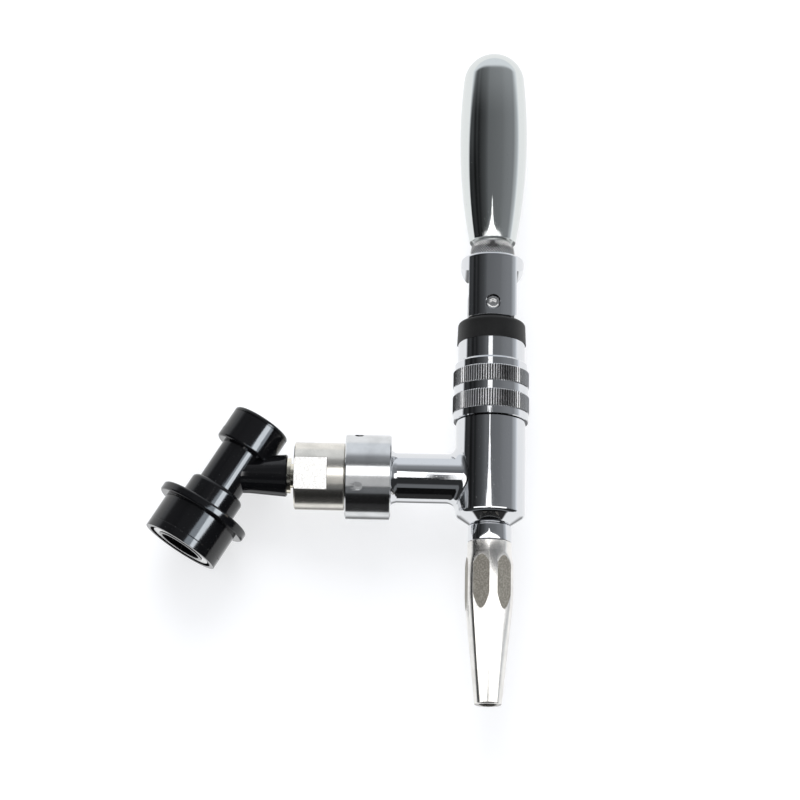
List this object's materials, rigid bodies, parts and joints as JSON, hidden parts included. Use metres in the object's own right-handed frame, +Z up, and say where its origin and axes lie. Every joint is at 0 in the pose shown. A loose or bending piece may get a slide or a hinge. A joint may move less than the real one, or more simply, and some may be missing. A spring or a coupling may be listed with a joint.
{
  "type": "nitro coffee faucet",
  "caption": "Upright lever tap with a knurled bonnet, tapered spout and tail tube, joined by a nut and adapter to a leaning ball-lock keg disconnect.",
  "frame": {"origin": "middle of the keg-post socket bore of the disconnect, on its axis", "axes": "+Z up along the spout, stem and handle; +X to the front, away from the keg side; XZ is the mirror plane"},
  "size_m": [0.1718, 0.0436, 0.3102],
  "materials": {
    "chrome_plate": "polished chrome plate",
    "handle_chrome": "polished chrome plate",
    "turned_chrome": "turned and chromed, faint tool lines",
    "satin_nickel": "satin nickel, slightly warm",
    "bright_nickel": "bright nickel over brass",
    "turned_stainless": "turned and brushed stainless",
    "plain_stainless": "plain machined stainless",
    "spring_steel": "drawn spring steel",
    "ball_steel": "ground steel",
    "bare_brass": "machined brass",
    "black_nylon": "matt black nylon",
    "gloss_black": "glossy moulded black",
    "white_nylon": "natural white nylon",
    "seal_rubber": "black rubber"
  },
  "bodies": {
    "root": {"faucet_body": "chrome_plate", "bonnet": "chrome_plate", "lever_rest_ring": "black_nylon", "stem_guide": "bare_brass", "bonnet_seal": "seal_rubber", "spring_washer": "spring_steel", "return_spring": "spring_steel", "valve_seat": "bare_brass", "spout_collar": "chrome_plate", "nozzle": "turned_stainless", "restrictor_gasket": "seal_rubber", "restrictor_plate": "plain_stainless", "flow_straightener": "white_nylon", "retaining_clip": "spring_steel", "tail_gasket": "seal_rubber", "adapter": "satin_nickel", "flare_washer": "white_nylon", "flare_insert": "bright_nickel", "disconnect_body": "gloss_black", "disconnect_cap": "gloss_black", "cap_seal": "seal_rubber", "poppet_spring": "spring_steel", "post_gasket": "seal_rubber", "sleeve_spring": "spring_steel", "sleeve_ring": "plain_stainless", "lock_balls": "ball_steel"},
    "stem": {"stem": "plain_stainless", "stem_rings": "seal_rubber", "valve_washer": "seal_rubber", "valve_screw": "spring_steel"},
    "lever": {"lever_head": "chrome_plate", "pivot_screw": "plain_stainless", "handle_stud": "plain_stainless", "knurled_ferrule": "chrome_plate", "handle": "handle_chrome"},
    "nut": {"coupling_nut": "turned_chrome"},
    "sleeve": {"lock_sleeve": "gloss_black"},
    "poppet": {"poppet": "black_nylon", "poppet_seal": "seal_rubber"}
  },
  "joints": [
    {"name": "stem_lift", "type": "slide", "parent": "root", "child": "stem", "axis": [0, 0, 1], "range_m": [0, 0.00326], "stiffness_N_per_m": 4000, "springref_m": -0.006, "deforming": ["return_spring"]},
    {"name": "lever_tilt", "type": "hinge", "parent": "stem", "child": "lever", "pos_m": [0.12954, 0, 0.09861], "axis": [0, 1, 0], "range_deg": [0, 30]},
    {"name": "nut_turn", "type": "hinge", "parent": "root", "child": "nut", "pos_m": [0.08464, 0, 0.01821], "axis": [1, 0, 0], "continuous": true},
    {"name": "sleeve_lift", "type": "slide", "parent": "root", "child": "sleeve", "axis": [0.515, 0, 0.8572], "range_m": [0, 0.005], "stiffness_N_per_m": 1200, "springref_m": -0.004, "deforming": ["sleeve_spring"]},
    {"name": "poppet_lift", "type": "slide", "parent": "root", "child": "poppet", "axis": [0.515, 0, 0.8572], "range_m": [0, 0.003], "stiffness_N_per_m": 500, "springref_m": -0.004, "deforming": ["poppet_spring"]}
  ],
  "couplings": [
    {"joint": "stem_lift", "follows": "lever_tilt", "m_per_rad": 0.0062}
  ]
}
